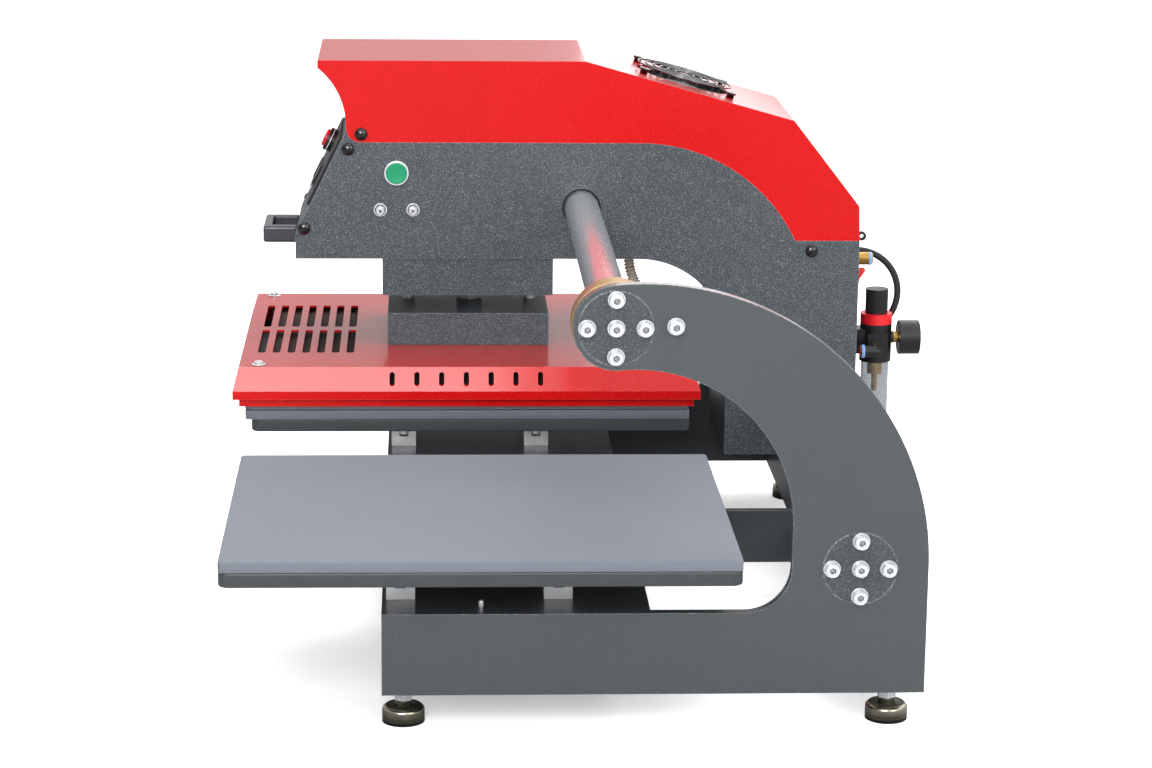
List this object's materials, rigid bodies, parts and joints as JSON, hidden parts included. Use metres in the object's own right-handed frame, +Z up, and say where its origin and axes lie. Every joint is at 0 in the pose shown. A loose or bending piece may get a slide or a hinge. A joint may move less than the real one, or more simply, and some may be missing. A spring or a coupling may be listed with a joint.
{
  "type": "pneumatic double-station heat press",
  "caption": "Pneumatic heat press with a head that shuttles on round shafts between side-by-side padded platens, held by C-shaped frame plates.",
  "frame": {"origin": "on the floor, midway between the levelling feet", "axes": "+X along the guide shafts, towards the operator's right-hand station; +Y away from the operator; +Z up"},
  "size_m": [1.015, 0.811, 0.5746],
  "materials": {
    "frame_paint": "satin",
    "chrome_shaft": "polished",
    "yellow_zinc": "satin",
    "zinc_screw": "bright zinc",
    "black_rubber": "matt",
    "aluminium": "satin",
    "nickel_foot": "polished nickel",
    "platen_paint": "satin",
    "silicone_pad": "fine matt",
    "speckle_paint": "fine textured speckle",
    "red_paint": "fine textured gloss",
    "black_plastic": "satin",
    "bearing_steel": "satin",
    "black_screw": "gloss black",
    "bright_ring": "bright",
    "green_button": "gloss",
    "red_button": "gloss",
    "grey_key": "satin",
    "cylinder_aluminium": "anodised",
    "clear_bowl": "clear",
    "brass": "turned",
    "heat_plate_aluminium": "cast and milled",
    "insulation_board": "dark fibre wool"
  },
  "bodies": {
    "frame": {"frame_plate_right": "frame_paint", "frame_plate_left": "frame_paint", "front_cross_beam": "frame_paint", "rear_cross_beam": "frame_paint", "upper_guide_shaft": "chrome_shaft", "lower_guide_shaft": "chrome_shaft", "shaft_flanges": "yellow_zinc", "shaft_end_discs": "frame_paint", "shaft_screws": "zinc_screw", "end_buffers": "black_rubber", "platen_rails": "aluminium", "foot_pads": "black_rubber", "foot_nuts": "zinc_screw"},
    "foot_front_right": {"foot_front_right": "nickel_foot"},
    "foot_front_left": {"foot_front_left": "nickel_foot"},
    "foot_rear_right": {"foot_rear_right": "nickel_foot"},
    "foot_rear_left": {"foot_rear_left": "nickel_foot"},
    "right_platen": {"platen_right": "platen_paint", "pad_right": "silicone_pad"},
    "left_platen": {"platen_left": "platen_paint", "pad_left": "silicone_pad"},
    "head": {"head_side_right": "speckle_paint", "head_side_left": "speckle_paint", "head_belly": "speckle_paint", "front_panel": "speckle_paint", "controller": "black_plastic", "head_cover": "red_paint", "rear_panel": "speckle_paint", "linear_bearings": "bearing_steel", "cover_screws": "black_screw", "side_bolts": "zinc_screw", "button_bezels": "bright_ring", "stop_button_collar": "black_plastic", "bow_handle": "black_plastic", "fan_frame": "black_plastic", "fan_guard": "bright_ring", "air_cylinder": "cylinder_aluminium", "regulator_body": "black_plastic", "regulator_bowl": "clear_bowl", "gauge_body": "black_plastic", "air_fittings": "brass", "air_hose": "black_rubber", "conduit": "bearing_steel"},
    "press": {"press_bracket": "speckle_paint", "piston_rod": "chrome_shaft", "press_fasteners": "zinc_screw", "guide_rods": "chrome_shaft", "heat_cover": "red_paint", "heat_plate": "heat_plate_aluminium", "insulation": "insulation_board"},
    "start_button_right": {"start_button_right": "green_button"},
    "start_button_left": {"start_button_left": "green_button"},
    "stop_button": {"stop_button": "red_button"},
    "key_up": {"key_up": "grey_key"},
    "key_down": {"key_down": "grey_key"},
    "fan_rotor": {"fan_rotor": "black_plastic"},
    "rocker_switch": {"rocker_switch": "red_button"},
    "regulator_knob": {"regulator_knob": "black_plastic"},
    "gauge_needle": {"gauge_needle": "black_plastic"},
    "inlet_elbow": {"inlet_elbow": "black_plastic"}
  },
  "joints": [
    {"name": "head_shuttle", "type": "slide", "parent": "frame", "child": "head", "axis": [1, 0, 0], "range_m": [0, 0.6]},
    {"name": "press_stroke", "type": "slide", "parent": "head", "child": "press", "axis": [0, 0, 1], "range_m": [0, 0.055], "deforming": ["conduit"]},
    {"name": "right_platen_slide", "type": "slide", "parent": "frame", "child": "right_platen", "axis": [1, 0, 0], "range_m": [0, 0.2]},
    {"name": "left_platen_slide", "type": "slide", "parent": "frame", "child": "left_platen", "axis": [-1, 0, 0], "range_m": [0, 0.2]},
    {"name": "start_button_right_press", "type": "slide", "parent": "head", "child": "start_button_right", "axis": [-1, 0, 0], "range_m": [0, 0.003]},
    {"name": "start_button_left_press", "type": "slide", "parent": "head", "child": "start_button_left", "axis": [1, 0, 0], "range_m": [0, 0.003]},
    {"name": "stop_button_press", "type": "slide", "parent": "head", "child": "stop_button", "axis": [0, 0.8974, -0.4413], "range_m": [0, 0.005]},
    {"name": "key_up_press", "type": "slide", "parent": "head", "child": "key_up", "axis": [0, 0.8974, -0.4413], "range_m": [0, 0.0015]},
    {"name": "key_down_press", "type": "slide", "parent": "head", "child": "key_down", "axis": [0, 0.8974, -0.4413], "range_m": [0, 0.0015]},
    {"name": "rocker_tilt", "type": "hinge", "parent": "head", "child": "rocker_switch", "pos_m": [-0.225, 0.283, 0.3185], "axis": [1, 0, 0], "range_deg": [0, 20]},
    {"name": "fan_spin", "type": "hinge", "parent": "head", "child": "fan_rotor", "pos_m": [-0.3, 0.0864, 0.54097], "axis": [0, 0.269, 0.9631], "continuous": true},
    {"name": "regulator_knob_turn", "type": "hinge", "parent": "head", "child": "regulator_knob", "pos_m": [-0.29, 0.324, 0.262], "axis": [0, 0, 1], "range_deg": [0, 1080]},
    {"name": "gauge_needle_turn", "type": "hinge", "parent": "head", "child": "gauge_needle", "pos_m": [-0.29, 0.374, 0.232], "axis": [0, -1, 0], "range_deg": [0, 270]},
    {"name": "inlet_elbow_swivel", "type": "hinge", "parent": "head", "child": "inlet_elbow", "pos_m": [-0.26, 0.324, 0.222], "axis": [1, 0, 0], "continuous": true},
    {"name": "foot_front_right_turn", "type": "hinge", "parent": "frame", "child": "foot_front_right", "pos_m": [0.412, -0.24, 0.02], "axis": [0, 0, 1], "continuous": true},
    {"name": "foot_front_left_turn", "type": "hinge", "parent": "frame", "child": "foot_front_left", "pos_m": [-0.412, -0.24, 0.02], "axis": [0, 0, 1], "continuous": true},
    {"name": "foot_rear_right_turn", "type": "hinge", "parent": "frame", "child": "foot_rear_right", "pos_m": [0.412, 0.24, 0.02], "axis": [0, 0, 1], "continuous": true},
    {"name": "foot_rear_left_turn", "type": "hinge", "parent": "frame", "child": "foot_rear_left", "pos_m": [-0.412, 0.24, 0.02], "axis": [0, 0, 1], "continuous": true}
  ]
}
